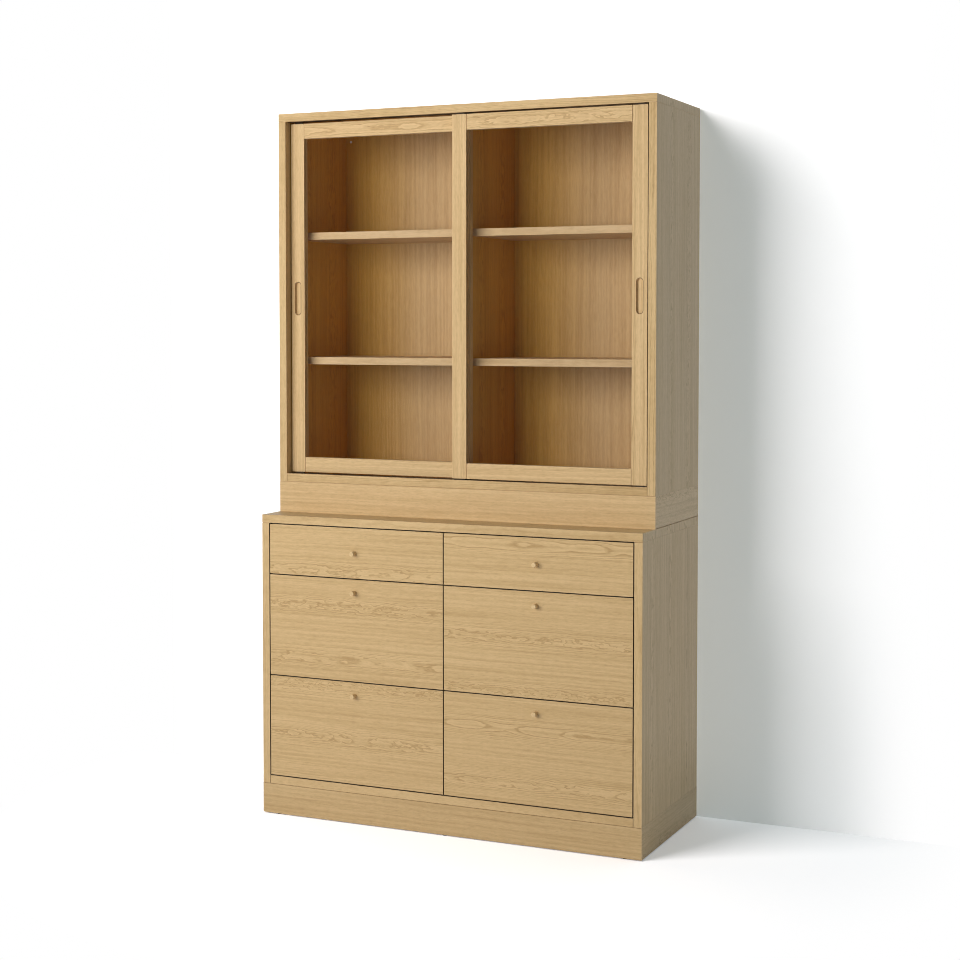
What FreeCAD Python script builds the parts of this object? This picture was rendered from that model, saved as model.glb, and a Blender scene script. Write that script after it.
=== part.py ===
import FreeCAD, Part
import Sketcher
import math
import os
import re

# Oak glass cabinet: an upper unit with two sliding glass doors stands on a chest of six drawers.
# Its front faces -Y, it stands on z = 0, and x = 0 is its middle. All sizes are in millimetres.
SIZES = {
    # Both units
    "width": 1200,
    "total_height": 2100,
    "board": 24,
    "ease": 0.8,
    "joint_line": 1.2,
    "joint_depth": 3,
    "seam_line": 2.4,
    "frame_rail": 20,
    "back_panel": 6,
    "rabbet": 10,
    "rabbet_wide": 8,
    "panel_play": 0.5,
    # Dowels in the board joints
    "dowel": 8,
    "dowel_length": 30,
    "dowel_face": 12,
    "dowel_space": 0.5,
    "dowel_inset": 70,
    "frame_dowel_inset": 110,
    "fit": 0.05,
    # Chest
    "chest_height": 900,
    "chest_depth": 495,
    "plinth_height": 89,
    "foot_height": 3,
    "foot_wide": 16,
    "foot_base": 14,
    "foot_inset": 51,
    # Drawers
    "drawer_gap": 3,
    "short_front": 148,
    "front_board": 20,
    "divider_play": 2,
    "box_wall": 12,
    "box_length": 445,
    "box_low": 15,
    "box_drop": 25,
    "box_floor": 6,
    "floor_height": 10,
    "floor_groove": 5,
    # Telescopic runners
    "runner_space": 13,
    "runner_height": 45,
    "runner_length": 440,
    "runner_low": 12,
    "runner_steel": 1.2,
    "runner_play": 0.3,
    "runner_reach": 10,
    # Knobs
    "knob_length": 20,
    "knob_head": 14,
    "knob_neck": 13,
    "knob_round": 2,
    "knob_drop": 39,
    "tenon": 8,
    "tenon_length": 14,
    # Upper unit
    "upper_depth": 390,
    "base_height": 92,
    "shelf": 22,
    "shelf_setback": 70,
    "shelf_play": 0.5,
    "middle_extra": 26,
    "support": 8,
    "support_reach": 10,
    "support_inset": 40,
    "support_play": 0.2,
    "plug": 5,
    "plug_length": 8,
    "cap_wide": 8,
    "cap_height": 1.5,
    "cap_stem": 5,
    "cap_inset": 18,
    "cap_drop": 26,
    # Sliding doors
    "door_board": 22,
    "door_setback": 3,
    "door_spacing": 3,
    "door_play": 3,
    "door_below": 4,
    "door_above": 5,
    "stile": 45,
    "glass": 4,
    "glass_cover": 8,
    "glass_groove": 9,
    "groove_play": 0.1,
    "pull_length": 98,
    "pull_wide": 19,
    "pull_depth": 7,
    # Door tracks and glides
    "track_margin": 6,
    "low_track": 8,
    "high_track": 14,
    "low_groove": 4,
    "high_groove": 12,
    "track_groove": 5,
    "glide_wide": 4.6,
    "glide_length": 26,
    "glide_root": 12,
    "glide_high": 6,
}

# Planes that several pieces share, as formulas on the sheet.
BACK = "((chest_depth + knob_length)/2)"
CHEST_FRONT = f"({BACK} - chest_depth)"
UPPER_FRONT = f"({BACK} - upper_depth)"
PANEL_FACE = f"({BACK} - rabbet)"
END = "(width/2)"
SIDE_IN = "(width/2 - board)"
DIVIDER = "(board/2)"
PLINTH_TOP = "(foot_height + plinth_height)"
CHEST_FLOOR = f"({PLINTH_TOP} + board)"
CHEST_CEILING = "(chest_height - board)"
BASE_TOP = "(chest_height + base_height)"
UPPER_FLOOR = f"({BASE_TOP} + board)"
UPPER_CEILING = "(total_height - board)"
FRONT_BACK = f"({CHEST_FRONT} + front_board)"
DOOR_LOW = f"({UPPER_FLOOR} + door_below)"
DOOR_HIGH = f"({UPPER_CEILING} - door_above)"
STILE_EDGE = f"({SIDE_IN} - door_play - stile)"
DOOR_FRONTS = {
    "right": f"({UPPER_FRONT} + door_setback)",
    "left": f"({UPPER_FRONT} + door_setback + door_board + door_spacing)",
}
DOORS_BACK = f"({DOOR_FRONTS['left']} + door_board)"

SIDES = ("left", "right")
DRAWER_ROWS = ("bottom", "middle", "top")
BLOCK_EDGES = range(1, 13)
FULL_TURN = 360
TURNS = {
    "x": FreeCAD.Rotation(FreeCAD.Vector(0, 1, 0), 90),
    "y": FreeCAD.Rotation(FreeCAD.Vector(1, 0, 0), -90),
    "z": FreeCAD.Rotation(),
}

doc = FreeCAD.newDocument("glass_cabinet")
sheet = doc.addObject("Spreadsheet::Sheet", "sizes")
for line, (alias, value) in enumerate(SIZES.items(), start=1):
    sheet.set(f"A{line}", alias)
    sheet.set(f"B{line}", str(value))
    sheet.setAlias(f"B{line}", alias)
doc.recompute()

nodes = []
dowels = []
bores = {}


def formula(text):
    """The text with each word read as an alias on the sheet."""
    return re.sub(r"[a-z_]+", lambda word: "sizes." + word.group(), text)


def bind(item, **formulas):
    """Bind sizes of an item to formulas on the sheet."""
    for size, text in formulas.items():
        item.setExpression(size, formula(text))
    return item


def place(item, x, y, z):
    """Bind where an item stands to formulas on the sheet."""
    for axis, text in zip("xyz", (x, y, z)):
        item.setExpression(f"Placement.Base.{axis}", formula(text))
    return item


def mirrored(side, x):
    """A plane on the right half of the cabinet, or its mirror image on the left."""
    return x if side == "right" else f"-({x})"


def on_side(side, near, far):
    """Two planes on one half of the cabinet, the lower one first."""
    planes = (mirrored(side, near), mirrored(side, far))
    return planes if side == "right" else planes[::-1]


def about(middle, size):
    """Two planes a size apart, either side of a middle one."""
    return f"{middle} - ({size})/2", f"{middle} + ({size})/2"


def block(name, x, y, z):
    """A block between a low and a high plane on each axis."""
    item = doc.addObject("Part::Box", name)
    for size, (low, high) in zip(("Length", "Width", "Height"), (x, y, z)):
        item.setExpression(size, formula(f"({high}) - ({low})"))
    return place(item, x[0], y[0], z[0])


def eased(name, x, y, z):
    """A board: a block with its edges rounded a little."""
    item = doc.addObject("Part::Fillet", name)
    item.Base = block(name + "_blank", x, y, z)
    item.Edges = [(edge, sheet.ease, sheet.ease) for edge in BLOCK_EDGES]
    return item


def rod(name, axis, start, radius, length):
    """A round bar from a start point along one axis."""
    item = doc.addObject("Part::Cylinder", name)
    item.Placement = FreeCAD.Placement(FreeCAD.Vector(), TURNS[axis])
    bind(item, Radius=radius, Height=length)
    return place(item, *start)


def group(name, items):
    """Separate solids that make up one piece, or one set of tools."""
    item = doc.addObject("Part::Compound", name)
    item.Links = items
    return item


def fuse(name, items):
    """One solid from several that overlap or touch."""
    item = doc.addObject("Part::MultiFuse", name)
    item.Shapes = items
    return item


def cut(name, base, tools):
    """A base with the tools taken out of it."""
    item = doc.addObject("Part::Cut", name)
    item.Base = base
    item.Tool = group(name + "_tools", tools) if len(tools) > 1 else tools[0]
    return item


def keep(item):
    """Note an item as a finished piece of the cabinet."""
    nodes.append(item)


def bore(piece, hole):
    """Note a hole or recess that a piece gets when it is made."""
    bores.setdefault(piece, []).append(hole)


def bored(name, base):
    """A finished piece: its base with the holes noted for it."""
    return cut(name, base, bores[name]) if name in bores else group(name, [base])


def joint_groove(piece, where, x, y, z):
    """A fine groove in a face of a piece, along the joint with its neighbour."""
    bore(piece, block(f"{piece}_{where}_joint", x, y, z))


def skin(face):
    """Two planes either side of a face, as deep as a joint groove goes."""
    return about(face, "2*joint_depth")


def dowel(axis, start, *pieces):
    """A dowel from a start point along X or up, and its hole in the pieces that it joins."""
    name = f"dowel_{len(dowels) + 1}"
    dowels.append(rod(name, axis, start, "dowel/2", "dowel_length"))
    mouth = list(start)
    mouth["xyz".index(axis)] += " - dowel_space"
    hole = rod(name + "_hole", axis, mouth, "dowel/2 + fit", "dowel_length + 2*dowel_space")
    for piece in pieces:
        bore(piece, hole)


def carcass_dowels(unit, front, low, ceiling, frame):
    """The dowels that join one unit's boards, and its sides to the rail frame below."""
    rows = (f"{front} + dowel_inset", f"({front} + {PANEL_FACE})/2", f"{PANEL_FACE} - dowel_inset")
    frame_rows = (f"{front} + frame_dowel_inset", f"{PANEL_FACE} - frame_dowel_inset")
    board_middle = f"{SIDE_IN} + board/2"
    rail_middle = f"{END} - frame_rail/2"
    top_start = f"{ceiling} + dowel_face - dowel_length"
    for side in SIDES:
        panel = f"{unit}_{side}_side"
        start, _ = on_side(side, f"{SIDE_IN} + dowel_face - dowel_length", f"{SIDE_IN} + dowel_face")
        over, under = mirrored(side, board_middle), mirrored(side, rail_middle)
        for y in rows:
            dowel("x", (start, y, f"{low} + board/2"), f"{unit}_bottom", panel)
            dowel("z", (over, y, top_start), panel, f"{unit}_top")
        for y in frame_rows:
            dowel("z", (under, y, f"{low} + dowel_face - dowel_length"), f"{frame}_{side}", panel)
    for y in (rows[0], rows[-1]):
        dowel("z", ("0", y, f"{low} + board - dowel_face"), f"{unit}_bottom", f"{unit}_divider")
        dowel("z", ("0", y, top_start), f"{unit}_divider", f"{unit}_top")


def stacking_joint():
    """The dowels that hold the upper unit's base on the chest, and the line along its sides."""
    for side in SIDES:
        base = f"upper_base_{side}"
        line = ("chest_height", "chest_height + seam_line")
        joint_groove(base, "bottom", skin(mirrored(side, END)), (UPPER_FRONT, BACK), line)
        x = mirrored(side, f"{END} - frame_rail/2")
        for y in (f"{UPPER_FRONT} + frame_dowel_inset", f"{PANEL_FACE} - frame_dowel_inset"):
            dowel("z", (x, y, "chest_height - dowel_face"), "chest_top", base)


def rail_frame(name, front, low, high):
    """Four rails with mitred corners, which carry one unit."""
    depth = f"({BACK} - {front})"
    runs = (
        ("front", 0, f"-{END}", front, "width"),
        ("right", 90, END, front, depth),
        ("back", 180, END, BACK, "width"),
        ("left", 270, f"-{END}", BACK, depth),
    )
    rails = []
    line = (f"{high} - joint_line", high)
    joint_groove(f"{name}_front", "top", (f"-{END}", END), skin(front), line)
    for rail, angle, x, y, length in runs:
        piece = f"{name}_{rail}"
        wedge = doc.addObject("Part::Wedge", piece + "_blank")
        turn = FreeCAD.Rotation(FreeCAD.Vector(0, 0, 1), angle)
        wedge.Placement = FreeCAD.Placement(FreeCAD.Vector(), turn)
        bind(wedge, Xmin="0", Xmax=length, X2min="frame_rail", X2max=f"{length} - frame_rail")
        bind(wedge, Ymin="0", Ymax="frame_rail")
        bind(wedge, Zmin="0", Zmax=f"{high} - {low}", Z2min="0", Z2max=f"{high} - {low}")
        place(wedge, x, y, low)
        rails.append(bored(piece, wedge))
    keep(group(name, rails))


def carcass(unit, front, low, ceiling, divider_front):
    """Bottom, sides, divider, top and back panel of one unit."""
    bottom, divider, top, back = (f"{unit}_{piece}" for piece in ("bottom", "divider", "top", "back"))
    floor = f"{low} + board"
    groove = f"({SIDE_IN} + rabbet_wide)"
    recess = (PANEL_FACE, f"{BACK} + rabbet")
    board = eased(bottom + "_board", (f"-{SIDE_IN}", SIDE_IN), (front, PANEL_FACE), (low, floor))
    for side in SIDES:
        line = on_side(side, f"{SIDE_IN} - joint_line", SIDE_IN)
        joint_groove(bottom, side, line, skin(front), (low, floor))
    keep(bored(bottom, board))
    for side in SIDES:
        panel = f"{unit}_{side}_side"
        width = on_side(side, SIDE_IN, END)
        board = eased(panel + "_board", width, (front, BACK), (low, ceiling))
        joint_groove(panel, "top", width, skin(front), (f"{ceiling} - joint_line", ceiling))
        bore(panel, block(panel + "_rabbet", on_side(side, SIDE_IN, groove), recess, (low, ceiling)))
        keep(bored(panel, board))
    middle = (divider_front, PANEL_FACE)
    board = eased(divider + "_board", (f"-{DIVIDER}", DIVIDER), middle, (floor, ceiling))
    keep(bored(divider, board))
    board = eased(top + "_board", (f"-{END}", END), (front, BACK), (ceiling, f"{ceiling} + board"))
    height = (ceiling, f"{ceiling} + rabbet_wide")
    bore(top, block(top + "_rabbet", (f"-{groove}", groove), recess, height))
    keep(bored(top, board))
    edge = f"({groove} - panel_play)"
    thickness = (PANEL_FACE, f"{PANEL_FACE} + back_panel")
    height = (low, f"{ceiling} + rabbet_wide - panel_play")
    keep(bored(back, block(back + "_panel", (f"-{edge}", edge), thickness, height)))


def feet():
    """Glides under the ends and the middle of the front and back plinth rails."""
    pads = []
    for x in (f"-({END} - foot_inset)", "0", f"{END} - foot_inset"):
        for y in (f"{CHEST_FRONT} + frame_rail/2", f"{BACK} - frame_rail/2"):
            pad = doc.addObject("Part::Cone", f"foot_{len(pads) + 1}")
            bind(pad, Radius1="foot_base/2", Radius2="foot_wide/2", Height="foot_height")
            pads.append(place(pad, x, y, "0"))
    keep(group("chest_feet", pads))


def from_carcass(side, wall, near, far):
    """Two planes measured from the carcass, at a drawer's inner or outer wall."""
    if wall == "inner":
        return on_side(side, f"{DIVIDER} + {near}", f"{DIVIDER} + {far}")
    return on_side(side, f"{SIDE_IN} - {far}", f"{SIDE_IN} - {near}")


def channel(name, x, hollow, low, inset):
    """One steel member of a runner: a channel with its hollow open to one side."""
    start = f"{FRONT_BACK} + divider_play"
    end = f"{start} + runner_length"
    bottom = f"{low} + {inset}"
    top = f"{low} + runner_height - {inset}"
    bar = block(name + "_bar", x, (start, end), (bottom, top))
    along = (f"{start} - runner_reach", f"{end} + runner_reach")
    inside = block(name + "_hollow", hollow, along, (f"{bottom} + runner_steel", f"{top} - runner_steel"))
    return cut(name, bar, [inside])


def runners(name, side, low):
    """Both runners of one drawer: three channels each, which nest and slide in one another."""
    step = "(runner_steel + runner_play)"
    spans = {
        "rail": ("0", "runner_reach", "runner_steel", "runner_space", "0"),
        "carrier": (step, f"(runner_reach + {step})", f"({step} + runner_steel)", "runner_space", step),
        "slide": (f"(2*{step})", "runner_space", "0", "(runner_space - runner_steel)", f"2*{step}"),
    }
    members = {}
    for member, (near, far, hollow_near, hollow_far, inset) in spans.items():
        members[member] = [
            channel(
                f"{name}_{wall}_{member}",
                from_carcass(side, wall, near, far),
                from_carcass(side, wall, hollow_near, hollow_far),
                low,
                inset,
            )
            for wall in ("inner", "outer")
        ]
    keep(group(f"{name}_drawer_slides", members["slide"]))
    keep(group(f"{name}_slide_carriers", members["carrier"]))
    return members["rail"]


def knob(name, x, z):
    """A turned knob: a slim peg with a rounded edge round its face, and a tenon into the drawer front."""
    body = place(doc.addObject("PartDesign::Body", name), x, CHEST_FRONT, z)
    sketch = body.newObject("Sketcher::SketchObject", name + "_profile")
    plane = next(item for item in body.Origin.OriginFeatures if item.Role == "XY_Plane")
    sketch.AttachmentSupport = [(plane, "")]
    sketch.MapMode = "FlatFace"
    head, neck, root = sheet.knob_head / 2, sheet.knob_neck / 2, sheet.tenon / 2
    flat, shoulder = head - sheet.knob_round, sheet.knob_round - sheet.knob_length
    radii = (0, root, root, neck, head)
    heights = (sheet.tenon_length, sheet.tenon_length, 0, 0, shoulder)
    corners = [FreeCAD.Vector(radius, height, 0) for radius, height in zip(radii, heights)]
    for start, end in zip(corners, corners[1:]):
        sketch.addGeometry(Part.LineSegment(start, end))
    ring = Part.Circle(FreeCAD.Vector(flat, shoulder, 0), FreeCAD.Vector(0, 0, 1), sheet.knob_round)
    sketch.addGeometry(Part.ArcOfCircle(ring, math.radians(-90), 0))
    tip = FreeCAD.Vector(0, -sheet.knob_length, 0)
    sketch.addGeometry(Part.LineSegment(FreeCAD.Vector(flat, -sheet.knob_length, 0), tip))
    sketch.addGeometry(Part.LineSegment(tip, corners[0]))
    end, wall, rim, taper, edge, face, axis = range(sketch.GeometryCount)
    root_point, across, up = -1, -1, -2
    rules = (
        ("Coincident", end, 2, wall, 1),
        ("Coincident", wall, 2, rim, 1),
        ("Coincident", rim, 2, taper, 1),
        ("Coincident", taper, 2, edge, 2),
        ("Coincident", edge, 1, face, 1),
        ("Coincident", face, 2, axis, 1),
        ("Coincident", axis, 2, end, 1),
        ("Horizontal", end),
        ("Horizontal", rim),
        ("Horizontal", face),
        ("Vertical", wall),
        ("Vertical", axis),
        ("PointOnObject", rim, 1, across),
        ("PointOnObject", axis, 1, up),
        ("Vertical", edge, 3, edge, 1),
        ("Horizontal", edge, 3, edge, 2),
    )
    for rule in rules:
        sketch.addConstraint(Sketcher.Constraint(*rule))
    measures = {
        "root_radius": ("tenon/2", ("DistanceX", end, 1, end, 2, root)),
        "root_length": ("tenon_length", ("DistanceY", wall, 2, wall, 1, sheet.tenon_length)),
        "neck_radius": ("knob_neck/2", ("DistanceX", root_point, 1, rim, 2, neck)),
        "head_radius": ("knob_head/2", ("DistanceX", root_point, 1, taper, 2, head)),
        "edge_radius": ("knob_round", ("Radius", edge, sheet.knob_round)),
        "reach": ("knob_length", ("DistanceY", face, 2, root_point, 1, sheet.knob_length)),
    }
    for measure, (text, rule) in measures.items():
        sketch.renameConstraint(sketch.addConstraint(Sketcher.Constraint(*rule)), measure)
        sketch.setExpression(f"Constraints.{measure}", formula(text))
    turning = body.newObject("PartDesign::Revolution", name + "_turning")
    turning.Profile = sketch
    turning.ReferenceAxis = (sketch, ["V_Axis"])
    turning.Angle = FULL_TURN
    keep(body)


def drawer(side, row, low, high, knob_height):
    """A drawer: flush front with its knob, a box of four boards, and a pair of runners."""
    name = f"{side}_{row}"
    near, far = "drawer_gap/2", f"({SIDE_IN} - drawer_gap)"
    middle = mirrored(side, f"({near} + {far})/2")
    hole_start = (middle, f"{CHEST_FRONT} - tenon_length", knob_height)
    hole = rod(f"{name}_knob_hole", "y", hole_start, "tenon/2 + fit", "2*tenon_length + dowel_space")
    board = eased(f"{name}_front_board", on_side(side, near, far), (CHEST_FRONT, FRONT_BACK), (low, high))
    keep(cut(f"{name}_drawer_front", board, [hole]))
    knob(f"{name}_drawer_knob", middle, knob_height)

    rear = f"({FRONT_BACK} + box_length)"
    bottom, top = f"({low} + box_low)", f"({high} - box_drop)"
    floor = (f"{bottom} + floor_height", f"{bottom} + floor_height + box_floor")
    length = (FRONT_BACK, rear)
    walls = []
    for wall in ("inner", "outer"):
        x = from_carcass(side, wall, "runner_space", "(runner_space + box_wall)")
        groove_from = "(runner_space + box_wall - floor_groove)"
        groove = from_carcass(side, wall, groove_from, "(runner_space + box_wall + floor_groove)")
        board = block(f"{name}_{wall}_board", x, length, (bottom, top))
        slot = block(f"{name}_{wall}_slot", groove, (FRONT_BACK, f"{rear} + box_wall"), floor)
        walls.append(cut(f"{name}_{wall}_wall", board, [slot]))
    inside = ("runner_space + box_wall", "runner_space + box_wall - floor_groove")
    between, grooved = (
        on_side(side, f"{DIVIDER} + {inset}", f"{SIDE_IN} - ({inset})") for inset in inside
    )
    back = block(f"{name}_box_back", between, (f"{rear} - box_wall", rear), (floor[1], top))
    base = block(f"{name}_box_floor", grooved, length, floor)
    keep(group(f"{name}_drawer_box", walls + [back, base]))
    return runners(name, side, f"({bottom} + runner_low)")


def drawers():
    """Six drawers in two columns, and the fixed runner rails that they hang on."""
    gaps = f"{len(DRAWER_ROWS) + 1}*drawer_gap"
    tall_front = f"({CHEST_CEILING} - {CHEST_FLOOR} - {gaps} - short_front)/2"
    low = f"({CHEST_FLOOR} + drawer_gap)"
    rails = []
    for row in DRAWER_ROWS:
        high = f"({low} + {'short_front' if row == 'top' else tall_front})"
        knob_height = f"({low} + {high})/2" if row == "top" else f"{high} - knob_drop"
        for side in SIDES:
            rails += drawer(side, row, low, high, knob_height)
        low = f"({high} + drawer_gap)"
    keep(group("chest_runner_rails", rails))


def shelves():
    """Four shelves, each on four plugs whose blocks are let into its underside."""
    boards, supports = [], []
    depth = (f"({UPPER_FRONT} + shelf_setback)", PANEL_FACE)
    rows = {"front": f"({depth[0]} + support_inset)", "rear": f"({PANEL_FACE} - support_inset)"}
    end_space = f"({UPPER_CEILING} - {UPPER_FLOOR} - 2*shelf - middle_extra)/3"
    lows = {"low": f"({UPPER_FLOOR} + {end_space})", "high": f"({UPPER_CEILING} - {end_space} - shelf)"}
    for side in SIDES:
        for level, low in lows.items():
            shelf = f"{side}_{level}_shelf"
            for wall, panel in (("inner", "upper_divider"), ("outer", f"upper_{side}_side")):
                for row, y in rows.items():
                    name = f"{shelf}_{wall}_{row}"
                    supports.append(shelf_support(name, side, wall, panel, y, low))
                    notch = from_carcass(side, wall, "0", "(support_reach + support_play)")
                    sides = about(y, "support + 2*support_play")
                    height = (f"{low} - support", f"{low} + support")
                    bore(shelf, block(f"{name}_notch", notch, sides, height))
            width = on_side(side, f"{DIVIDER} + shelf_play", f"{SIDE_IN} - shelf_play")
            boards.append(bored(shelf, eased(f"{shelf}_board", width, depth, (low, f"{low} + shelf"))))
    keep(group("shelves", boards))
    keep(group("shelf_supports", supports))


def shelf_support(name, side, wall, panel, y, low):
    """A plug in a carcass board, with the block that carries one corner of a shelf."""
    middle = f"{low} + support/2"
    start, _ = from_carcass(side, wall, "(-plug_length)", "0")
    plug = rod(f"{name}_plug", "x", (start, y, middle), "plug/2", "plug_length")
    start, _ = from_carcass(side, wall, "(-plug_length - dowel_space)", "dowel_space")
    hole_length = "plug_length + 2*dowel_space"
    bore(panel, rod(f"{name}_hole", "x", (start, y, middle), "plug/2 + fit", hole_length))
    reach = from_carcass(side, wall, "0", "support_reach")
    rest = block(f"{name}_block", reach, about(y, "support"), (low, f"{low} + support"))
    return fuse(f"{name}_support", [plug, rest])


def tracks():
    """Twin-groove tracks for the doors, let into the upper unit's bottom and top boards."""
    middles = {side: f"({front} + door_board/2)" for side, front in DOOR_FRONTS.items()}
    depth = (f"{middles['right']} - track_margin", f"{middles['left']} + track_margin")
    heights = {
        "bottom": ((f"{UPPER_FLOOR} - low_track", UPPER_FLOOR), about(UPPER_FLOOR, "2*low_groove")),
        "top": ((UPPER_CEILING, f"{UPPER_CEILING} + high_track"), about(UPPER_CEILING, "2*high_groove")),
    }
    length = (f"-{SIDE_IN}", SIDE_IN)
    for level, (height, groove) in heights.items():
        strip = block(f"{level}_track_strip", length, depth, height)
        bore(f"upper_{level}", strip)
        slots = [
            block(f"{level}_{side}_slot", length, about(middle, "track_groove"), groove)
            for side, middle in middles.items()
        ]
        keep(cut(f"{level}_door_track", strip, slots))


def anchor_caps():
    """White caps over the wall anchor holes in the upper back panel."""
    caps = []
    z = f"{UPPER_CEILING} - cap_drop"
    for side in SIDES:
        x = mirrored(side, f"{SIDE_IN} - cap_inset")
        disc_start = (x, f"{PANEL_FACE} - cap_height", z)
        disc = rod(f"{side}_cap_disc", "y", disc_start, "cap_wide/2", "cap_height")
        stem = rod(f"{side}_cap_stem", "y", (x, PANEL_FACE, z), "cap_stem/2", "back_panel")
        hole_start = (x, f"{PANEL_FACE} - back_panel", z)
        bore("upper_back", rod(f"{side}_cap_hole", "y", hole_start, "cap_stem/2 + fit", "3*back_panel"))
        caps.append(fuse(f"{side}_cap", [disc, stem]))
    keep(group("anchor_caps", caps))


def finger_pull(side):
    """The oblong recess, round at both ends, in a door's outer stile."""
    x = mirrored(side, f"({STILE_EDGE} + stile/2)")
    depth = about(DOOR_FRONTS[side], "2*pull_depth")
    ends = about(f"({DOOR_LOW} + {DOOR_HIGH})/2", "pull_length - pull_wide")
    slot = block(f"{side}_pull_slot", about(x, "pull_wide"), depth, ends)
    rounds = [
        rod(f"{side}_pull_{end}", "y", (x, depth[0], z), "pull_wide/2", "2*pull_depth")
        for end, z in zip(("low", "high"), ends)
    ]
    return fuse(f"{side}_pull", [slot] + rounds)


def door(side):
    """A sliding door: two stiles, two rails with stub tenons, a pane and four glides."""
    front = DOOR_FRONTS[side]
    middle = f"({front} + door_board/2)"
    thickness = (front, f"{front} + door_board")
    groove = about(middle, "glass + 2*groove_play")
    pane = about(middle, "glass")
    stiles, rails, glides = [], [], []

    bore(f"{side}_outer_stile", finger_pull(side))
    for stile, near in (("meeting", "(-stile/2)"), ("outer", STILE_EDGE)):
        name = f"{side}_{stile}"
        edge = "(stile/2)" if stile == "meeting" else STILE_EDGE
        glide_x = about(mirrored(side, f"({near} + stile/2)"), "glide_length")
        glide_y = about(middle, "glide_wide")
        low = (f"{UPPER_FLOOR} - low_groove", f"{DOOR_LOW} + glide_root")
        high = (f"{DOOR_HIGH} - glide_root", f"{UPPER_CEILING} + glide_high")
        for end, height in (("low", low), ("high", high)):
            glides.append(block(f"{name}_{end}_glide", glide_x, glide_y, height))
            bore(f"{name}_stile", glides[-1])
        slot = on_side(side, f"{edge} - glass_groove", f"{edge} + glass_groove")
        bore(f"{name}_stile", block(f"{name}_groove", slot, groove, (DOOR_LOW, DOOR_HIGH)))
        width = on_side(side, near, f"{near} + stile")
        board = eased(f"{name}_board", width, thickness, (DOOR_LOW, DOOR_HIGH))
        stiles.append(bored(f"{name}_stile", board))

    between = on_side(side, "stile/2", STILE_EDGE)
    covered = on_side(side, "stile/2 - glass_cover", f"{STILE_EDGE} + glass_cover")
    low_edge, high_edge = f"({DOOR_LOW} + stile)", f"({DOOR_HIGH} - stile)"
    heights = {
        "low": ((DOOR_LOW, low_edge), (DOOR_LOW, f"{low_edge} - glass_groove"), low_edge),
        "high": ((high_edge, DOOR_HIGH), (f"{high_edge} + glass_groove", DOOR_HIGH), high_edge),
    }
    for rail, (height, tenon_height, edge) in heights.items():
        name = f"{side}_{rail}_rail"
        bar = eased(f"{name}_bar", between, thickness, height)
        tenons = block(f"{name}_tenons", covered, pane, tenon_height)
        ends = {
            "inner": ("stile/2", "stile/2 + joint_line"),
            "outer": (f"{STILE_EDGE} - joint_line", STILE_EDGE),
        }
        for end, planes in ends.items():
            joint_groove(name, end, on_side(side, *planes), skin(front), height)
        bore(name, block(f"{name}_groove", covered, groove, about(edge, "2*glass_groove")))
        rails.append(bored(name, fuse(f"{name}_tenoned", [bar, tenons])))

    height = (f"{low_edge} - glass_cover", f"{high_edge} + glass_cover")
    keep(group(f"{side}_door_stiles", stiles))
    keep(group(f"{side}_door_rails", rails))
    keep(block(f"{side}_door_glass", covered, pane, height))
    keep(group(f"{side}_door_glides", glides))


carcass_dowels("chest", CHEST_FRONT, PLINTH_TOP, CHEST_CEILING, "chest_plinth")
carcass_dowels("upper", UPPER_FRONT, BASE_TOP, UPPER_CEILING, "upper_base")
stacking_joint()
keep(group("joint_dowels", dowels))

feet()
rail_frame("chest_plinth", CHEST_FRONT, "foot_height", PLINTH_TOP)
carcass("chest", CHEST_FRONT, PLINTH_TOP, CHEST_CEILING, f"{FRONT_BACK} + divider_play")
drawers()

shelves()
tracks()
anchor_caps()
rail_frame("upper_base", UPPER_FRONT, "chest_height", BASE_TOP)
carcass("upper", UPPER_FRONT, BASE_TOP, UPPER_CEILING, f"{DOORS_BACK} + divider_play")
for side in SIDES:
    door(side)

doc.recompute()
failed = [item.Name for item in doc.Objects if {"Invalid", "Error"} & set(item.State)]
failed += [item.Name for item in nodes if item.Shape.isNull() or not item.Shape.isValid()]
if failed:
    raise RuntimeError("not built: " + ", ".join(failed))

os.makedirs("parts", exist_ok=True)
for item in nodes:
    item.Shape.exportStep(f"parts/{item.Label}.step")
    print(item.Label, len(item.Shape.Solids), "solids", round(item.Shape.Volume), "mm3")
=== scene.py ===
import math

import bpy
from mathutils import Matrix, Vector


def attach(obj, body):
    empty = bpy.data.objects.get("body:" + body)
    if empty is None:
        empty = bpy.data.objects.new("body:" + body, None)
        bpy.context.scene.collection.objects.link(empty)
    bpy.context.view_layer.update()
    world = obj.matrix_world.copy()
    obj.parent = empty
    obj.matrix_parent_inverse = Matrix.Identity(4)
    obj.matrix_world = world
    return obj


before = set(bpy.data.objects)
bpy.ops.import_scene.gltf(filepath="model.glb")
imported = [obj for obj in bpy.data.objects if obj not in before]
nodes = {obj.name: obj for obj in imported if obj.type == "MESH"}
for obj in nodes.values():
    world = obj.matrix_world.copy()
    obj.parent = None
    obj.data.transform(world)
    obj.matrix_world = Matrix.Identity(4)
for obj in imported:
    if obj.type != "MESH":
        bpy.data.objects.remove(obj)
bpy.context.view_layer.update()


# The chest's boards: bottom, two sides, divider, top and back panel.
# Particle board faced and edged with oak veneer, laid up from leaves about a hand wide and lacquered matt.
# Dowels hold the boards together. The back panel, with straight grain, lies in a rabbet.
def put(tree, kind, inputs=(), **settings):
    """Adds a node, sets what it is told, and joins or fills its inputs."""
    node = tree.nodes.new(kind)
    for name, value in settings.items():
        setattr(node, name, value)
    for name, value in dict(inputs).items():
        if isinstance(value, bpy.types.NodeSocket):
            tree.links.new(value, node.inputs[name])
        else:
            node.inputs[name].default_value = value
    return node


def reckon(tree, operation, *values):
    """One sum on numbers or sockets."""
    return put(tree, "ShaderNodeMath", enumerate(values), operation=operation).outputs[0]


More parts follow.
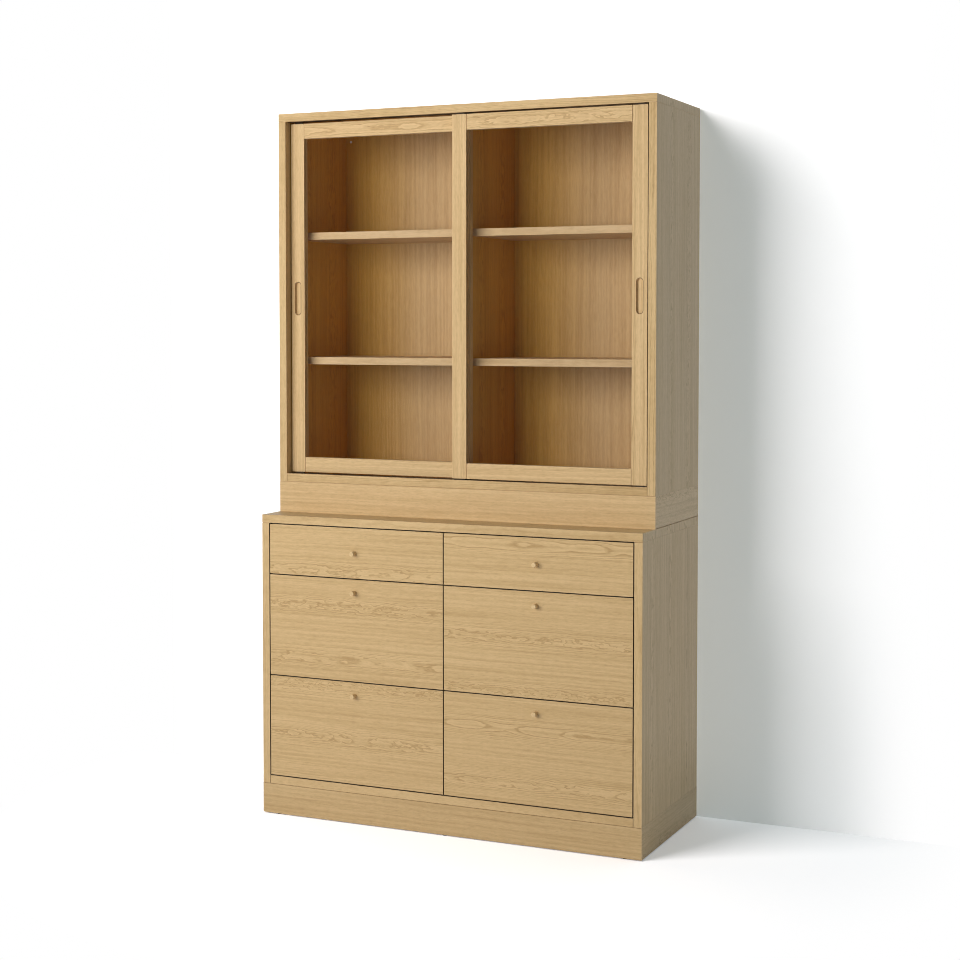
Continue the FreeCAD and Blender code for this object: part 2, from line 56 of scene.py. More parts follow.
def reckon_vector(tree, operation, *vectors):
    """One sum on vectors."""
    return put(tree, "ShaderNodeVectorMath", enumerate(vectors), operation=operation).outputs[0]


def length(tree, vector):
    """How long a vector is."""
    return put(tree, "ShaderNodeVectorMath", {0: vector}, operation="LENGTH").outputs["Value"]


def parted(tree, vector):
    """The three numbers of a vector."""
    return put(tree, "ShaderNodeSeparateXYZ", {0: vector}).outputs[:3]


def joined(tree, *numbers):
    """A vector of up to three numbers."""
    return put(tree, "ShaderNodeCombineXYZ", enumerate(numbers)).outputs[0]


def shifted(tree, vector, offset, by=(1.0, 1.0, 1.0)):
    """The vector moved by another one, taken so many times along each axis."""
    return reckon_vector(tree, "MULTIPLY_ADD", offset, by, vector)


def faded(tree, value, low, high, start=0.0, end=1.0):
    """Goes smoothly from start to end while the value goes from low to high."""
    limits = {"Value": value, "From Min": low, "From Max": high, "To Min": start, "To Max": end}
    return put(tree, "ShaderNodeMapRange", limits, interpolation_type="SMOOTHSTEP").outputs[0]


def figure(tree, vector, stretch, detail=2.0):
    """Soft noise, with that many marks to the metre along each axis."""
    scaled = reckon_vector(tree, "MULTIPLY", vector, stretch)
    return put(tree, "ShaderNodeTexNoise", {"Vector": scaled, "Scale": 1.0, "Detail": detail}).outputs["Fac"]


def swung(tree, noise, width):
    """Noise spread over a width about zero."""
    return reckon(tree, "MULTIPLY_ADD", noise, width, -0.5 * width)


def tinted(tree, factor, first, second):
    """A colour between two colours."""
    return put(tree, "ShaderNodeMix", {0: factor, 6: first, 7: second}, data_type="RGBA").outputs[2]


def overlaid(tree, mask, pair, other_pair):
    """A light and a dark colour, with another such pair laid over them by the mask."""
    return [tinted(tree, mask, first, second) for first, second in zip(pair, other_pair)]


def group_with(name, wanted, given):
    """An empty node group with these inputs and outputs, and its two end nodes."""
    tree = bpy.data.node_groups.new(name, "ShaderNodeTree")
    for title, kind in wanted:
        tree.interface.new_socket(title, in_out="INPUT", socket_type="NodeSocket" + kind)
    for title, kind in given:
        tree.interface.new_socket(title, in_out="OUTPUT", socket_type="NodeSocket" + kind)
    return tree, tree.nodes.new("NodeGroupInput"), tree.nodes.new("NodeGroupOutput")


def veneer_group():
    """Flat-cut veneer: growth rings round a heart line in each leaf, with pores in the early wood."""
    wanted = (("Board", "Vector"), ("Leaf", "Float"), ("Heart", "Float"), ("Log", "Float"),
              ("Light", "Color"), ("Dark", "Color"), ("Pores", "Float"), ("Facing", "Vector"))
    given = (("Color", "Color"), ("Roughness", "Float"), ("Height", "Float"))
    tree, start, end = group_with("veneer", wanted, given)
    board, leaf, heart, log, light, dark, pores, facing = start.outputs[:8]

    # Every leaf has a number, and with it a chance draw that says where in the log it was cut.
    across, deep_in = parted(tree, board)[1:]
    from_heart = reckon(tree, "SUBTRACT", across, heart)
    place = reckon(tree, "MULTIPLY_ADD", from_heart, reckon(tree, "DIVIDE", 1.0, leaf), 0.5)
    number = reckon(tree, "FLOOR", place)
    in_leaf = reckon(tree, "SUBTRACT", reckon(tree, "FRACT", place), 0.5)
    local = reckon(tree, "MULTIPLY", in_leaf, leaf)
    pick = joined(tree, number, log)
    luck = put(tree, "ShaderNodeTexWhiteNoise", {"Vector": pick}, noise_dimensions="3D").outputs["Color"]
    depth_luck, jag_luck = parted(tree, luck)[:2]
    log_reach = (9.0, 0.0, 4.0)
    leaf_cut = shifted(tree, board, luck, log_reach)

    # The log sways, swells and waves along its length, in metres, and its rings have jagged rims.
    sway_width, swell_width, wave_width = 0.012, 0.026, 0.008
    sway = swung(tree, figure(tree, leaf_cut, (1.6, 0.0, 1.0)), sway_width)
    further_on = shifted(tree, leaf_cut, (0.0, 0.0, 5.0))
    swell = swung(tree, figure(tree, further_on, (2.2, 0.0, 1.0), 1.0), swell_width)
    wave = swung(tree, figure(tree, leaf_cut, (8.0, 8.0, 1.0), 1.0), wave_width)
    least_jag, jag_spread = 0.001, 0.010
    jag_size = reckon(tree, "MULTIPLY_ADD", jag_luck, jag_spread, least_jag)
    jag_noise = reckon(tree, "SUBTRACT", figure(tree, leaf_cut, (30.0, 90.0, 1.0)), 0.5)
    jag = reckon(tree, "MULTIPLY", jag_noise, jag_size)

    # The knife passes beside the pith, so the rings are cut flat at the heart line and steep away from it.
    least_depth, depth_spread = 0.004, 0.006
    pith = reckon(tree, "ADD", reckon(tree, "MULTIPLY_ADD", depth_luck, depth_spread, least_depth), deep_in)
    depth = reckon(tree, "ADD", pith, reckon(tree, "ADD", swell, reckon(tree, "ADD", wave, jag)))
    off = reckon(tree, "ADD", local, sway)
    aside = reckon(tree, "ABSOLUTE", off)
    flat_slant, slant_growth = 0.3, 8.0
    slant = reckon(tree, "MULTIPLY_ADD", aside, slant_growth, flat_slant)
    radius = length(tree, joined(tree, reckon(tree, "MULTIPLY", off, slant), depth))
    rings_per_metre, uneven_rings = 380.0, 6.0
    years = figure(tree, joined(tree, radius, log), (45.0, 1.0, 1.0))
    uneven = reckon(tree, "MULTIPLY", years, uneven_rings)
    ring = reckon(tree, "MULTIPLY_ADD", radius, rings_per_metre, uneven)
    season = reckon(tree, "FRACT", ring)
    near_heart = faded(tree, aside, 0.012, 0.045, 1.0, 0.3)
    spring = faded(tree, season, 0.0, 0.12)
    early = reckon(tree, "MULTIPLY", spring, faded(tree, season, 0.12, 0.45, near_heart, 0.0))
    late = faded(tree, season, 0.7, 0.97, 0.0, near_heart)

    # Streaks and flecks follow the grain. The pores are short dark dashes, most of them in the early wood.
    flow = shifted(tree, leaf_cut, joined(tree, 0.0, wave), (0.0, 0.6, 0.0))
    streaks = figure(tree, flow, (1.6, 130.0, 30.0), 5.0)
    clouds = figure(tree, leaf_cut, (1.2, 14.0, 4.0), 1.0)
    flecks = figure(tree, flow, (38.0, 210.0, 60.0))
    dashes = faded(tree, figure(tree, board, (28.0, 430.0, 430.0)), 0.44, 0.62)
    vessels = faded(tree, figure(tree, board, (70.0, 1300.0, 1300.0), 1.0), 0.52, 0.66)
    early = reckon(tree, "MULTIPLY", early, reckon(tree, "MULTIPLY_ADD", dashes, 0.4, 0.6))
    porous = reckon(tree, "MULTIPLY_ADD", early, 0.6, 0.4)
    holes = reckon(tree, "MULTIPLY_ADD", vessels, 0.7, reckon(tree, "MULTIPLY", dashes, 0.1))
    open_pores = reckon(tree, "MULTIPLY", reckon(tree, "MULTIPLY", porous, holes), pores)

    # The colour goes from light to dark by all these marks, and pores are darker still.
    streak_share, cloud_share, fleck_share, late_share, middle_tone = 2.0, 0.4, 0.9, -0.3, -1.35
    tone = reckon(tree, "MULTIPLY_ADD", clouds, cloud_share, middle_tone)
    tone = reckon(tree, "MULTIPLY_ADD", streaks, streak_share, tone)
    tone = reckon(tree, "MULTIPLY_ADD", flecks, fleck_share, tone)
    tone = reckon(tree, "ADD", tone, reckon(tree, "MULTIPLY_ADD", late, late_share, early))
    wood = tinted(tree, tone, light, dark)
    pore_brown = (0.05, 0.02, 0.005, 1.0)
    pore_share = 0.7
    deep = tinted(tree, 0.5, dark, pore_brown)
    wood = tinted(tree, reckon(tree, "MULTIPLY", open_pores, pore_share), wood, deep)

    # Hands rub the corners, which are the places that face no axis squarely, a little smoother. The corners
    # are also painted paler: partly wear, and partly a painted highlight along the edges.
    turned = parted(tree, reckon_vector(tree, "ABSOLUTE", facing))
    squarely = reckon(tree, "MAXIMUM", turned[0], reckon(tree, "MAXIMUM", turned[1], turned[2]))
    rubbed_and_highlit = faded(tree, figure(tree, board, (30.0, 30.0, 30.0), 3.0), 0.3, 0.7, 0.2, 0.8)
    wear_and_highlight = reckon(tree, "MULTIPLY", faded(tree, squarely, 0.88, 0.995, 1.0, 0.0), rubbed_and_highlit)
    bare_wood_highlight = (0.85, 0.66, 0.42, 1.0)
    highlit_pale_edge = tinted(tree, 0.5, light, bare_wood_highlight)
    tree.links.new(tinted(tree, wear_and_highlight, wood, highlit_pale_edge), end.inputs["Color"])
    lacquer, cloudy, pore_rough, worn_rough = 0.42, 0.1, 0.2, -0.1
    rough = reckon(tree, "MULTIPLY_ADD", clouds, cloudy, lacquer)
    rough = reckon(tree, "MULTIPLY_ADD", open_pores, pore_rough, rough)
    tree.links.new(reckon(tree, "MULTIPLY_ADD", wear_and_highlight, worn_rough, rough), end.inputs["Roughness"])
    early_dip = -0.15
    height = reckon(tree, "MULTIPLY_ADD", open_pores, -1.0, reckon(tree, "MULTIPLY", early, early_dip))
    tree.links.new(height, end.inputs["Height"])
    return tree


def blank(name):
    """A new material, with its node tree and its shader."""
    material = bpy.data.materials.new(name)
    material.use_nodes = True
    tree = material.node_tree
    return material, tree, tree.nodes["Principled BSDF"]


MOSTLY = 0.7


def turned_to(tree, facing, side):
    """One on the faces that are mostly turned to a side such as +x, and elsewhere zero."""
    along = reckon(tree, "MULTIPLY", facing["xyz".index(side[1])], float(side[0] + "1"))
    return reckon(tree, "GREATER_THAN", along, MOSTLY)


VENEER = veneer_group()
OAK = (0.640, 0.446, 0.222, 1.0), (0.470, 0.304, 0.130, 1.0)
# Painted shade: a richer gold for faces in the cabinet's shade.
SHADED_INSIDE = (0.705, 0.392, 0.072, 1.0), (0.523, 0.266, 0.038, 1.0)
# Painted shade: near-black brown for the edges beside the gaps.
GAP_SHADE = (0.090, 0.042, 0.012, 1.0), (0.060, 0.027, 0.007, 1.0)
DRAWER_FRONTS_BACK = -0.2175
LEFT_DOOR_FRONT = -0.1045


def wooden(name, axes, colours=OAK, heart=0.0, log=0.0, face=0.0, leaf=0.155, pores=1.0, ends=None,
           end_log=None, shaded_side=None, shaded_bays=None, shaded_lip=None, gap_shade_from=None, squared=True):
    """Wood whose grain runs along the first axis, with its leaves side by side along the second.
    One leaf has its heart line at heart. The veneer was cut at the face's height on the third axis.
    Pieces with the same log number match. The end faces have veneer of their own.
    Faces turned to the inner space behind the doors get a richer gold, which is painted shade, and so does
    the start of each bay, where the wall beside it shades it.
    Painted shade darkens the edges beyond a distance from the middle, and the carcass edges beside the
    drawer fronts, so the gaps read dark.
    Squared pieces get wear and a painted highlight at their corners."""
    material, tree, shader = blank(name)
    where = put(tree, "ShaderNodeTexCoord").outputs
    place = parted(tree, where["Object"])
    facing = parted(tree, where["Normal"])
    board = joined(tree, *(place["xyz".index(axis)] for axis in axes))
    board = shifted(tree, board, (0.0, 0.0, -face))
    if ends:
        end_facing = reckon(tree, "ABSOLUTE", facing["xyz".index(axes[0])])
        at_end = reckon(tree, "GREATER_THAN", end_facing, MOSTLY)
        end = joined(tree, *(place["xyz".index(axis)] for axis in ends))
        end = shifted(tree, end, (0.0, heart, 0.0))
        board = put(tree, "ShaderNodeMix", {0: at_end, 4: board, 5: end}, data_type="VECTOR").outputs[1]
        if end_log is not None:
            log = reckon(tree, "MULTIPLY_ADD", at_end, end_log - log, log)
    if shaded_side:
        behind_doors = reckon(tree, "GREATER_THAN", place[1], LEFT_DOOR_FRONT)
        inner_shade = reckon(tree, "MULTIPLY", turned_to(tree, facing, shaded_side), behind_doors)
        colours = overlaid(tree, inner_shade, colours, SHADED_INSIDE)
    # Painted shade: each bay is richer in colour near its left wall, where shade falls.
    if shaded_bays:
        first, width = shaded_bays
        along = reckon(tree, "DIVIDE", reckon(tree, "SUBTRACT", place[0], first), width)
        bay_shade = faded(tree, reckon(tree, "FRACT", along), 0.0, 0.52, 1.0, 0.0)
        bay_shade = reckon(tree, "MULTIPLY", turned_to(tree, facing, "-y"), bay_shade)
        colours = overlaid(tree, bay_shade, colours, SHADED_INSIDE)
    # Painted shade on the edge faces beside the gaps.
    if gap_shade_from is not None:
        edge = faded(tree, reckon(tree, "ABSOLUTE", facing[1]), 0.3, 0.8, 1.0, 0.0)
        outside = reckon(tree, "GREATER_THAN", reckon(tree, "ABSOLUTE", place[0]), gap_shade_from)
        colours = overlaid(tree, reckon(tree, "MULTIPLY", edge, outside), colours, GAP_SHADE)
    # Painted shade on the carcass edges beside the drawer fronts.
    if shaded_lip:
        beside_fronts = reckon(tree, "LESS_THAN", place[1], DRAWER_FRONTS_BACK)
        carcass_edge_shade = reckon(tree, "MULTIPLY", beside_fronts, turned_to(tree, facing, shaded_lip))
        colours = overlaid(tree, carcass_edge_shade, colours, GAP_SHADE)
    values = {"Board": board, "Leaf": leaf, "Heart": heart, "Log": log, "Pores": pores,
              "Light": colours[0], "Dark": colours[1],
              "Facing": where["Normal"] if squared else (0.0, 0.0, 1.0)}
    veneer = put(tree, "ShaderNodeGroup", values, node_tree=VENEER).outputs
    relief = put(tree, "ShaderNodeBump", {"Height": veneer["Height"], "Strength": 0.5, "Distance": 0.00025})
    tree.links.new(veneer["Color"], shader.inputs["Base Color"])
    tree.links.new(veneer["Roughness"], shader.inputs["Roughness"])
    tree.links.new(relief.outputs["Normal"], shader.inputs["Normal"])
    return material


def finish(node, material):
    """Gives a node of the frame its material."""
    mesh = nodes[node].data
    mesh.materials.clear()
    mesh.materials.append(material)


OUTER_SIDE = 0.6
CHEST_TOP = 0.9
SIDES_LOG = 2.0
# The bottom and sides carry painted shade on their edges beside the drawer fronts.
finish("chest_bottom", wooden("oak_chest_bottom", "xyz", log=1.0, ends="yzx", shaded_lip="+z"))
finish("chest_left_side", wooden("oak_chest_left_side", "zyx", log=SIDES_LOG, face=-OUTER_SIDE,
                                 ends="yxz", shaded_lip="+x"))
finish("chest_right_side", wooden("oak_chest_right_side", "zyx", log=SIDES_LOG, face=OUTER_SIDE,
                                  ends="yxz", shaded_lip="-x"))
finish("chest_divider", wooden("oak_chest_divider", "zyx", log=4.0, ends="yxz"))
finish("chest_top", wooden("oak_chest_top", "xyz", log=5.0, face=CHEST_TOP, ends="zyx", end_log=SIDES_LOG))
STRAIGHT_GRAIN = {"leaf": 3.0, "heart": 1.0}
finish("chest_back", wooden("oak_chest_back", "zxy", log=6.0, ends="yxz", **STRAIGHT_GRAIN))


# The dowels in the board joints and between the two units.
# Round beech pegs, glued into the boards' edges. Most are out of sight once the boards are together.
BEECH = (0.68, 0.50, 0.32, 1.0), (0.52, 0.35, 0.20, 1.0)
finish("joint_dowels", wooden("beech_dowels", "xyz", BEECH, leaf=0.03, pores=0.4, squared=False))


# The plinth under the chest: four oak-faced rails with mitred corners.
# It stands on six low black glides, stuck to its underside near the corners and the middle.
CHEST_FRONT = -0.2375
# The plinth's oak is darker than the fronts': painted shade, as the light is weaker low down.
SHADED_PLINTH_OAK = (0.602, 0.419, 0.209, 1.0), (0.442, 0.286, 0.122, 1.0)
finish("chest_plinth", wooden("oak_chest_plinth", "xzy", SHADED_PLINTH_OAK, leaf=0.5, heart=0.25, log=7.0,
                              face=CHEST_FRONT, ends="yzx"))


def mottle_group():
    """Small uneven patches and a fine grain, as in moulded plastic and plated sheet."""
    wanted = (("Place", "Vector"), ("Patches", "Float"), ("Grain", "Float"))
    tree, start, end = group_with("mottle", wanted, (("Mask", "Float"), ("Height", "Float")))
    place, patch_scale, grain_scale = start.outputs[:3]
    patches = put(tree, "ShaderNodeTexNoise", {"Vector": place, "Scale": patch_scale, "Detail": 4.0})
    grain = put(tree, "ShaderNodeTexNoise", {"Vector": place, "Scale": grain_scale, "Detail": 2.0})
    tree.links.new(faded(tree, patches.outputs["Fac"], 0.3, 0.7), end.inputs["Mask"])
    tree.links.new(grain.outputs["Fac"], end.inputs["Height"])
    return tree


MOTTLE = mottle_group()


def mottled(name, light, dark, roughness, patches, grain, relief, metallic=0.0):
    """Plastic or metal that varies a little in colour and gloss, with a fine grain."""
    material, tree, shader = blank(name)
    shader.inputs["Metallic"].default_value = metallic
    values = {"Place": put(tree, "ShaderNodeTexCoord").outputs["Object"], "Patches": patches, "Grain": grain}
    mottle = put(tree, "ShaderNodeGroup", values, node_tree=MOTTLE).outputs
    tree.links.new(tinted(tree, mottle["Mask"], light, dark), shader.inputs["Base Color"])
    tree.links.new(faded(tree, mottle["Mask"], 0.0, 1.0, *roughness), shader.inputs["Roughness"])
    bump = put(tree, "ShaderNodeBump", {"Height": mottle["Height"], "Strength": 0.4, "Distance": relief})
    tree.links.new(bump.outputs["Normal"], shader.inputs["Normal"])
    return material


black = mottled("black_glides", light=(0.014, 0.014, 0.015, 1.0), dark=(0.022, 0.021, 0.020, 1.0),
                roughness=(0.42, 0.6), patches=90.0, grain=2600.0, relief=0.0001)
finish("chest_feet", black)


# The drawer runners, two to a drawer: a rail on the carcass, a carrier, and a slide on the drawer.
# Rolled from zinc-plated steel strip. The carrier travels half as far as the drawer.
zinc = mottled("zinc_runners", light=(0.66, 0.67, 0.68, 1.0), dark=(0.52, 0.54, 0.56, 1.0),
               roughness=(0.26, 0.44), patches=160.0, grain=1400.0, relief=0.00008, metallic=1.0)
finish("chest_runner_rails", zinc)


# The six drawers: a flush oak front with a turned knob, on a pale birch box.
# The front's veneer lies across it, with a heart line in each leaf, and its edges are darkened with painted
# shade, so the gaps between the fronts read dark.
# The knob is glued in with a tenon.
BIRCH = (0.76, 0.62, 0.43, 1.0), (0.64, 0.48, 0.30, 1.0)
birch = wooden("birch_boxes", "xzy", BIRCH, leaf=0.3, pores=0.3, ends="yzx")
# The knobs' oak is lighter than the fronts': a painted highlight on the knob heads.
HIGHLIT_KNOB_OAK = (0.72, 0.52, 0.28, 1.0), (0.58, 0.40, 0.19, 1.0)
highlit_knob_oak = wooden("oak_knobs", "yzx", HIGHLIT_KNOB_OAK, leaf=0.4, heart=0.1, log=8.0, squared=False)
drawer_hearts = {
    "left_top": 0.740, "right_top": 0.851,
    "left_middle": 0.638, "right_middle": 0.587,
    "left_bottom": 0.404, "right_bottom": 0.329,
}
for log, (drawer, heart) in enumerate(drawer_hearts.items(), start=10):
    front = wooden(f"oak_{drawer}_front", "xzy", heart=heart, log=float(log), face=CHEST_FRONT,
                   ends="yzx", gap_shade_from=0.0)
    finish(f"{drawer}_drawer_front", front)
    finish(f"{drawer}_drawer_knob", highlit_knob_oak)
    finish(f"{drawer}_drawer_box", birch)
    finish(f"{drawer}_drawer_slides", zinc)
    finish(f"{drawer}_slide_carriers", zinc)


# The upper unit's boards and the rail frame that it stands on.
# Made as the chest's are and less deep, with dowels into the chest below. The base is paler, which is
# painted light: the light is stronger high up.
# The faces round the shelves, and the whole divider, are a richer gold than the outside, which is painted
# shade.
UPPER_FRONT = -0.1325
FLOOR_TOP = 1.016
CABINET_TOP = 2.1
UPPER_SIDES_LOG = 22.0
# Lighter oak for the base and the door frames: painted light, as the light is stronger high up.
HIGH_LIT_OAK = (0.688, 0.481, 0.248, 1.0), (0.506, 0.329, 0.147, 1.0)
BACK_OAK = (0.556, 0.366, 0.182, 1.0), (0.415, 0.255, 0.110, 1.0)
FIRST_BAY, BAY_WIDTH = -0.576, 0.588
finish("upper_base", wooden("oak_upper_base", "xzy", HIGH_LIT_OAK, leaf=0.5, heart=1.14, log=20.0,
                            face=UPPER_FRONT, ends="yzx"))
finish("upper_bottom", wooden("oak_upper_bottom", "xyz", log=21.0, face=FLOOR_TOP, ends="yzx", shaded_side="+z"))
finish("upper_left_side", wooden("oak_upper_left_side", "zyx", log=UPPER_SIDES_LOG, face=-OUTER_SIDE,
                                 ends="yxz", shaded_side="+x"))
finish("upper_right_side", wooden("oak_upper_right_side", "zyx", log=UPPER_SIDES_LOG, face=OUTER_SIDE,
                                  ends="yxz", shaded_side="-x"))
# The divider is all of the richer gold: painted shade.
finish("upper_divider", wooden("oak_upper_divider", "zyx", SHADED_INSIDE, log=24.0, ends="yxz"))
finish("upper_top", wooden("oak_upper_top", "xyz", log=25.0, face=CABINET_TOP, ends="zyx",
                           end_log=UPPER_SIDES_LOG, shaded_side="-z"))
finish("upper_back", wooden("oak_upper_back", "zxy", BACK_OAK, log=26.0, ends="yxz",
                            shaded_bays=(FIRST_BAY, BAY_WIDTH), **STRAIGHT_GRAIN))


# The four loose shelves and the pegs that carry them.
# Oak-faced boards, each lying on four nickel-plated steel pegs let into its underside.
SHELF_OAK = (0.635, 0.435, 0.240, 1.0), (0.478, 0.307, 0.150, 1.0)
LOW_SHELF_TOP = 1.368
finish("shelves", wooden("oak_shelves", "xyz", SHELF_OAK, log=27.0, face=LOW_SHELF_TOP, ends="yzx"))
nickel = mottled("nickel_pegs", light=(0.62, 0.59, 0.54, 1.0), dark=(0.52, 0.50, 0.46, 1.0),
                 roughness=(0.16, 0.3), patches=220.0, grain=1800.0, relief=0.00005, metallic=1.0)
finish("shelf_supports", nickel)


# The door tracks, let into the bottom and the top board.
# Brown extruded plastic with a groove for each door.
brown = mottled("brown_tracks", light=(0.060, 0.034, 0.016, 1.0), dark=(0.042, 0.024, 0.012, 1.0),
                roughness=(0.36, 0.5), patches=60.0, grain=2200.0, relief=0.00008)
finish("bottom_door_track", brown)
finish("top_door_track", brown)


# The caps over the holes for wall anchors, high on the back panel.
# White moulded plastic, pressed into the holes.
white = mottled("white_plastic", light=(0.96, 0.91, 0.82, 1.0), dark=(0.90, 0.85, 0.76, 1.0),
                roughness=(0.34, 0.46), patches=120.0, grain=2400.0, relief=0.00006)
finish("anchor_caps", white)


# The two sliding doors: oak stiles and rails with stub tenons round a pane, on brown nylon glides.
# The pane is clear float glass in the frame's groove. Grain runs along each stile and each rail.
# The outer stiles' edges are darkened with painted shade, so the gap beside each door reads dark. The fine
# line round each finger pull is stained.
def clear_glass():
    """Clear glass that lets lamp light and bounced light straight through."""
    material, tree, shader = blank("clear_glass")
    shader.inputs["Base Color"].default_value = (0.97, 0.985, 0.975, 1.0)
    shader.inputs["Transmission Weight"].default_value = 1.0
    shader.inputs["IOR"].default_value = 1.1
    where = put(tree, "ShaderNodeTexCoord").outputs["Object"]
    wiped = figure(tree, where, (14.0, 14.0, 3.0), 4.0)
    tree.links.new(faded(tree, wiped, 0.45, 0.8, 0.0, 0.05), shader.inputs["Roughness"])
    path = put(tree, "ShaderNodeLightPath").outputs
    passing = reckon(tree, "MAXIMUM", path["Is Shadow Ray"], path["Is Diffuse Ray"])
    through = put(tree, "ShaderNodeBsdfTransparent")
    mixed = put(tree, "ShaderNodeMixShader", {0: passing, 1: shader.outputs[0], 2: through.outputs[0]})
    tree.links.new(mixed.outputs[0], tree.nodes["Material Output"].inputs["Surface"])
    return material


def pull_line(door, front, middle, material):
    """A fine line let in round a door's finger pull: two half rounds joined by straights."""
    door_bottom, door_top = 1.020, 2.071
    height = 0.5 * (door_bottom + door_top)
    half_straight = 0.0395
    inner_shade, outer, bevel, proud = 0.0095, 0.0110, 0.0001, 0.0002
    line = ((inner_shade, 0.0), (inner_shade + bevel, -proud), (outer - bevel, -proud), (outer, 0.0))
    steps = 24
    points = []
    for step in range(steps):
        turn = 2.0 * math.pi * (step + 0.5) / steps
        centre = height + math.copysign(half_straight, math.sin(turn))
        for radius, rise in line:
            points.append((middle + radius * math.cos(turn), front + rise, centre + radius * math.sin(turn)))
    sides = len(line)
    faces = []
    for step in range(steps):
        for side in range(sides):
            here = step * sides + side
            beside = step * sides + (side + 1) % sides
            faces.append((here, beside, (beside + sides) % len(points), (here + sides) % len(points)))
    mesh = bpy.data.meshes.new(f"{door}_pull_line")
    mesh.from_pydata(points, [], faces)
    mesh.materials.append(material)
    made = bpy.data.objects.new(f"{door}_pull_line", mesh)
    bpy.context.scene.collection.objects.link(made)
    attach(made, door)


LINE_BROWN = (0.150, 0.085, 0.034, 1.0), (0.085, 0.045, 0.018, 1.0)
line_oak = wooden("oak_pull_lines", "zxy", LINE_BROWN, log=34.0, squared=False)
pane = clear_glass()
RIGHT_DOOR_FRONT = -0.1295
PULL_MIDDLE = 0.5505
OUTER_EDGE = 0.571
doors = {"left_door": (LEFT_DOOR_FRONT, -PULL_MIDDLE), "right_door": (RIGHT_DOOR_FRONT, PULL_MIDDLE)}
# The door frames are of the lighter oak, which is painted light.
for log, (door, (front, pull)) in enumerate(doors.items()):
    stiles = wooden(f"oak_{door}_stiles", "zxy", HIGH_LIT_OAK, leaf=0.16, heart=0.04, log=30.0 + log, face=front,
                    ends="yxz", gap_shade_from=OUTER_EDGE)
    rails = wooden(f"oak_{door}_rails", "xzy", HIGH_LIT_OAK, leaf=0.16, heart=2.047, log=32.0 + log, face=front,
                   ends="yzx")
    finish(f"{door}_stiles", stiles)
    finish(f"{door}_rails", rails)
    finish(f"{door}_glass", pane)
    finish(f"{door}_glides", brown)
    pull_line(door, front, pull, line_oak)


# The room: a pale floor, a wall that the cabinet stands against, two soft lamps and a white surround.
# The wall is seen only from the front, so the cabinet's back can be looked at.
# One lamp shines on the cabinet and the other on floor and wall, and cool light fills in from behind.
WHITE = (1.0, 1.0, 1.0, 1.0)


def looked_at(tree, path):
    """One for rays from the camera, also by way of a mirror or a pane, and else zero."""
    by_way = reckon(tree, "MAXIMUM", path["Is Glossy Ray"], path["Is Transmission Ray"])
    return reckon(tree, "MAXIMUM", path["Is Camera Ray"], by_way)


def pale(name, reach, fade, glow, tint, one_sided):
    """White paint that keeps shadows near the cabinet and is plain white further off along the reach."""
    material, tree = blank(name)[:2]
    tree.nodes.clear()
    path = put(tree, "ShaderNodeLightPath").outputs
    seen = looked_at(tree, path)
    where = put(tree, "ShaderNodeTexCoord").outputs["Object"]
    distance = length(tree, reckon_vector(tree, "MULTIPLY", where, reach))
    far = reckon(tree, "MULTIPLY", faded(tree, distance, *fade), seen)
    thrown_back = (0.52, 0.52, 0.52, 1.0)
    paint = put(tree, "ShaderNodeBsdfDiffuse", {"Color": tinted(tree, seen, thrown_back, WHITE)})
    lift = put(tree, "ShaderNodeEmission", {"Color": tint, "Strength": reckon(tree, "MULTIPLY", seen, glow)})
    near = put(tree, "ShaderNodeAddShader", {0: paint.outputs[0], 1: lift.outputs[0]})
    white_far = put(tree, "ShaderNodeEmission", {"Strength": 1.0})
    surface = put(tree, "ShaderNodeMixShader", {0: far, 1: near.outputs[0], 2: white_far.outputs[0]})
    if one_sided:
        behind = put(tree, "ShaderNodeNewGeometry").outputs["Backfacing"]
        shown = reckon(tree, "MULTIPLY", path["Is Camera Ray"], reckon(tree, "SUBTRACT", 1.0, behind))
        clear = put(tree, "ShaderNodeBsdfTransparent")
        surface = put(tree, "ShaderNodeMixShader", {0: shown, 1: clear.outputs[0], 2: surface.outputs[0]})
    out = put(tree, "ShaderNodeOutputMaterial")
    tree.links.new(surface.outputs[0], out.inputs["Surface"])
    return material


def sheet(name, corners, material):
    """One flat sheet."""
    mesh = bpy.data.meshes.new(name)
    mesh.from_pydata(corners, [], [(0, 1, 2, 3)])
    made = bpy.data.objects.new(name, mesh)
    bpy.context.scene.collection.objects.link(made)
    mesh.materials.append(material)
    return made


ROOM = 9
WALL_FACE = 0.262
floor_paint = pale("floor_paint", reach=(1.0, 1.0, 0.0), fade=(1.05, 1.45), glow=0.2,
                   tint=(1.0, 0.96, 0.96, 1.0), one_sided=False)
wall_paint = pale("wall_paint", reach=(1.0, 0.0, 0.0), fade=(1.0, 1.27), glow=0.27,
                  tint=(0.89, 0.98, 0.98, 1.0), one_sided=True)
floor = sheet("floor", [(-ROOM, -ROOM, 0), (ROOM, -ROOM, 0), (ROOM, ROOM, 0), (-ROOM, ROOM, 0)], floor_paint)
wall = sheet("wall", [(-ROOM, WALL_FACE, 0), (ROOM, WALL_FACE, 0), (ROOM, WALL_FACE, ROOM),
                      (-ROOM, WALL_FACE, ROOM)], wall_paint)


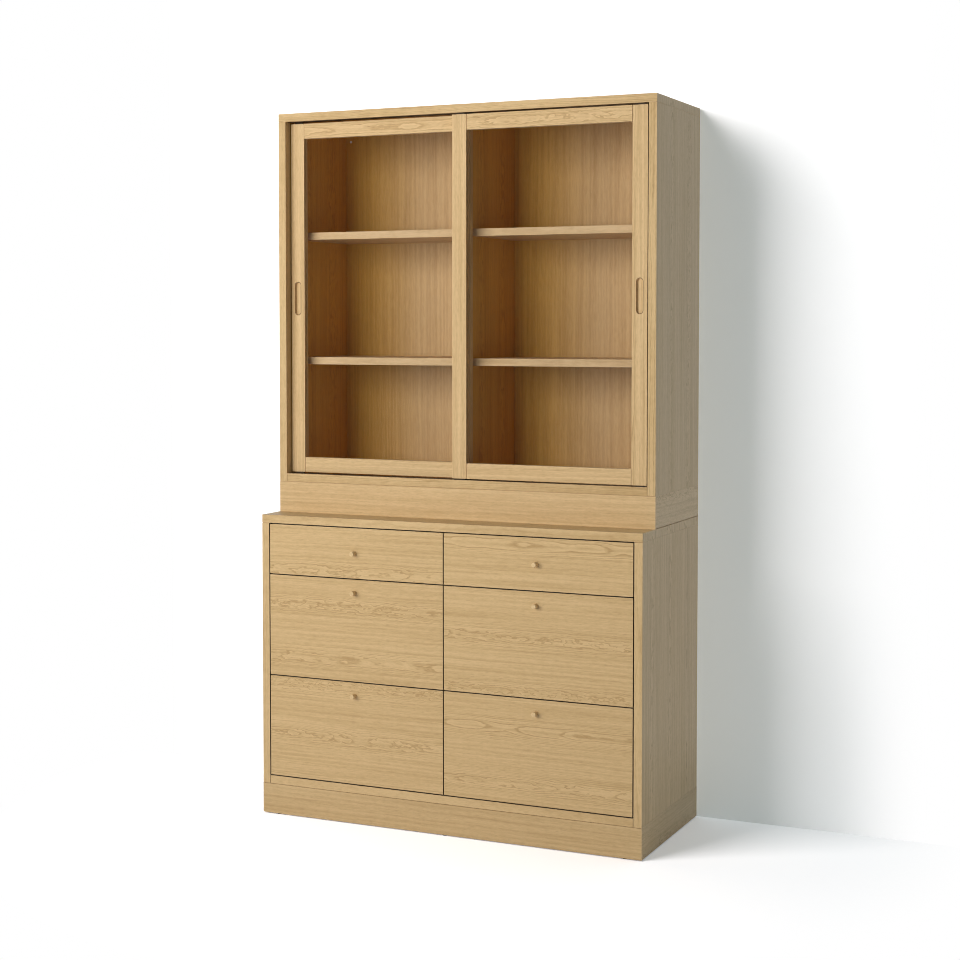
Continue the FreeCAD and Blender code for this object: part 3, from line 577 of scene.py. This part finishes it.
def lamp(name, width, height, power, place, target, colour):
    """A soft lamp, which glass and lacquer don't mirror, and the list of things that it shines on."""
    light = bpy.data.lights.new(name, "AREA")
    light.shape = "RECTANGLE"
    light.size = width
    light.size_y = height
    light.energy = power
    light.color = colour
    made = bpy.data.objects.new(name, light)
    bpy.context.scene.collection.objects.link(made)
    made.location = place
    made.visible_glossy = False
    made.visible_transmission = False
    made.rotation_euler = (Vector(target) - Vector(place)).to_track_quat("-Z", "Y").to_euler()
    made.light_linking.receiver_collection = bpy.data.collections.new(name + "_shines_on")
    return made.light_linking.receiver_collection


softbox = lamp("softbox", width=4.0, height=2.6, power=268.0, place=(-1.75, -4.75, 2.35),
               target=(0.0, 0.0, 3.6), colour=(1.0, 1.0, 1.0))
room_light = lamp("room_light", width=3.0, height=3.0, power=340.0, place=(-2.4, -3.8, 3.8),
                  target=(0.6, 0.0, 1.2), colour=(1.0, 0.962, 0.965))
for surface in (floor, wall):
    room_light.objects.link(surface)
    softbox.objects.link(surface)
for surface in softbox.collection_objects:
    surface.light_linking.link_state = "EXCLUDE"

world = bpy.data.worlds.new("surround")
bpy.context.scene.world = world
world.use_nodes = True
sky = world.node_tree
surround = sky.nodes["Background"].inputs
seen = looked_at(sky, put(sky, "ShaderNodeLightPath").outputs)
COOL = (0.88, 1.03, 1.07, 1.0)
sky.links.new(tinted(sky, seen, COOL, WHITE), surround["Color"])
backwards = parted(sky, put(sky, "ShaderNodeTexCoord").outputs["Generated"])[1]
WEAK_FILL, STRONG_FILL = 0.06, 0.65
fill = faded(sky, backwards, -0.3, 0.4, WEAK_FILL, STRONG_FILL)
sky.links.new(reckon(sky, "MAXIMUM", seen, fill), surround["Strength"])

bpy.context.scene.view_settings.view_transform = "Standard"
bpy.context.scene.cycles.filter_width = 1.0


# The camera, where the photograph was taken: right of the cabinet, at about eye height.
# It tilts down a little, and a small shift keeps the cabinet in the frame.
TILT_DOWN, TURN = 2.46, 24.454
view = bpy.data.cameras.new("camera")
view.sensor_width = 36.0
view.lens = 66.898
view.shift_y = -0.08
camera = bpy.data.objects.new("camera", view)
bpy.context.scene.collection.objects.link(camera)
camera.location = (2.1918, -4.8037, 1.4608)
camera.rotation_euler = (math.radians(90.0 - TILT_DOWN), 0.0, math.radians(TURN))
bpy.context.scene.camera = camera
